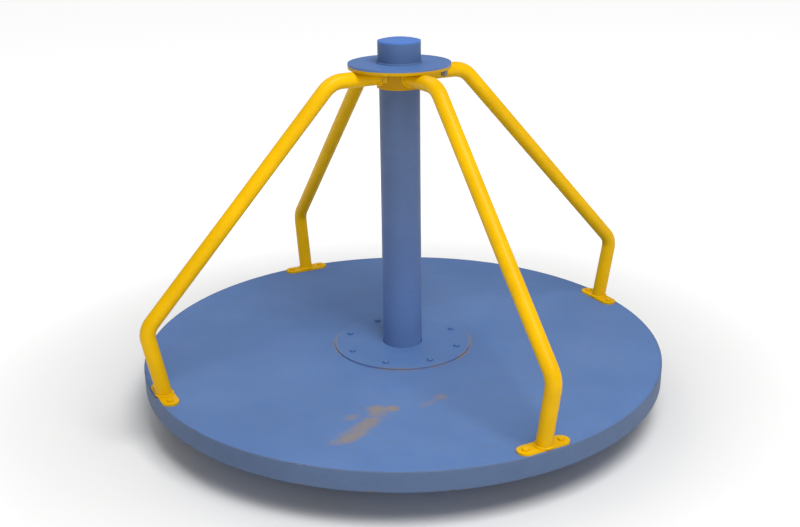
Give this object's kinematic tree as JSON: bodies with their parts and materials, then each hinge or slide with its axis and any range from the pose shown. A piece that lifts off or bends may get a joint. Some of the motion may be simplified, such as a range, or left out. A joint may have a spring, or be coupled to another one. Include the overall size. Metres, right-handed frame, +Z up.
{
  "type": "merry go round",
  "caption": "Playground merry-go-round: a round steel deck with bent tube handles that turns about a fixed centre post on a ball bearing in a capped hub.",
  "frame": {"origin": "on the ground, under the centre of the post", "axes": "+Z up along the post; the handles stand at 45 degrees to X and Y, so a rider bay faces each of +X, +Y, -X and -Y"},
  "size_m": [1.5238, 1.5238, 1.067],
  "materials": {
    "deck_blue": "worn semi-gloss blue enamel",
    "post_blue": "semi-gloss blue enamel",
    "hub_blue": "semi-gloss blue enamel",
    "handle_yellow": "gloss yellow enamel",
    "primed_steel": "grey primer",
    "zinc_steel": "dull zinc plate",
    "bearing_steel": "ground bearing steel",
    "cage_brass": "machined brass",
    "seal_rubber": "matt black rubber",
    "bush_nylon": "cast nylon"
  },
  "bodies": {
    "base": {"ground_plate": "primed_steel", "base_gussets": "primed_steel", "centre_post": "post_blue", "spindle_head": "bearing_steel", "bearing_inner_ring": "bearing_steel", "lock_washer": "zinc_steel", "lock_nut": "zinc_steel"},
    "ball_train": {"bearing_balls": "bearing_steel", "ball_cage": "cage_brass"},
    "carousel": {"deck_plate": "deck_blue", "rim_band": "deck_blue", "cover_plate": "deck_blue", "cover_bolts": "deck_blue", "hub_disc": "hub_blue", "bearing_cap": "hub_blue", "cap_lid": "hub_blue", "hub_bolts": "hub_blue", "hub_flange": "handle_yellow", "hub_collar": "handle_yellow", "handle_1": "handle_yellow", "foot_bar_1": "handle_yellow", "handle_2": "handle_yellow", "foot_bar_2": "handle_yellow", "handle_3": "handle_yellow", "foot_bar_3": "handle_yellow", "handle_4": "handle_yellow", "foot_bar_4": "handle_yellow", "foot_bolts": "handle_yellow", "deck_hub_tube": "primed_steel", "deck_spoke_1": "primed_steel", "deck_spoke_2": "primed_steel", "deck_spoke_3": "primed_steel", "deck_spoke_4": "primed_steel", "deck_spoke_5": "primed_steel", "deck_spoke_6": "primed_steel", "deck_spoke_7": "primed_steel", "deck_spoke_8": "primed_steel", "hub_nuts": "zinc_steel", "hub_washers": "zinc_steel", "foot_nuts": "zinc_steel", "foot_washers": "zinc_steel", "cover_nuts": "zinc_steel", "cover_washers": "zinc_steel", "load_spacer": "bearing_steel", "bearing_outer_ring": "bearing_steel", "bearing_seal": "seal_rubber", "dust_seal": "seal_rubber", "guide_bush": "bush_nylon"}
  },
  "joints": [
    {"name": "carousel_spin", "type": "hinge", "parent": "base", "child": "carousel", "pos_m": [0, 0, 0.16], "axis": [0, 0, 1], "continuous": true},
    {"name": "ball_train_spin", "type": "hinge", "parent": "base", "child": "ball_train", "pos_m": [0, 0, 1.0135], "axis": [0, 0, 1], "continuous": true}
  ],
  "couplings": [
    {"joint": "ball_train_spin", "follows": "carousel_spin", "ratio": 0.61906}
  ]
}
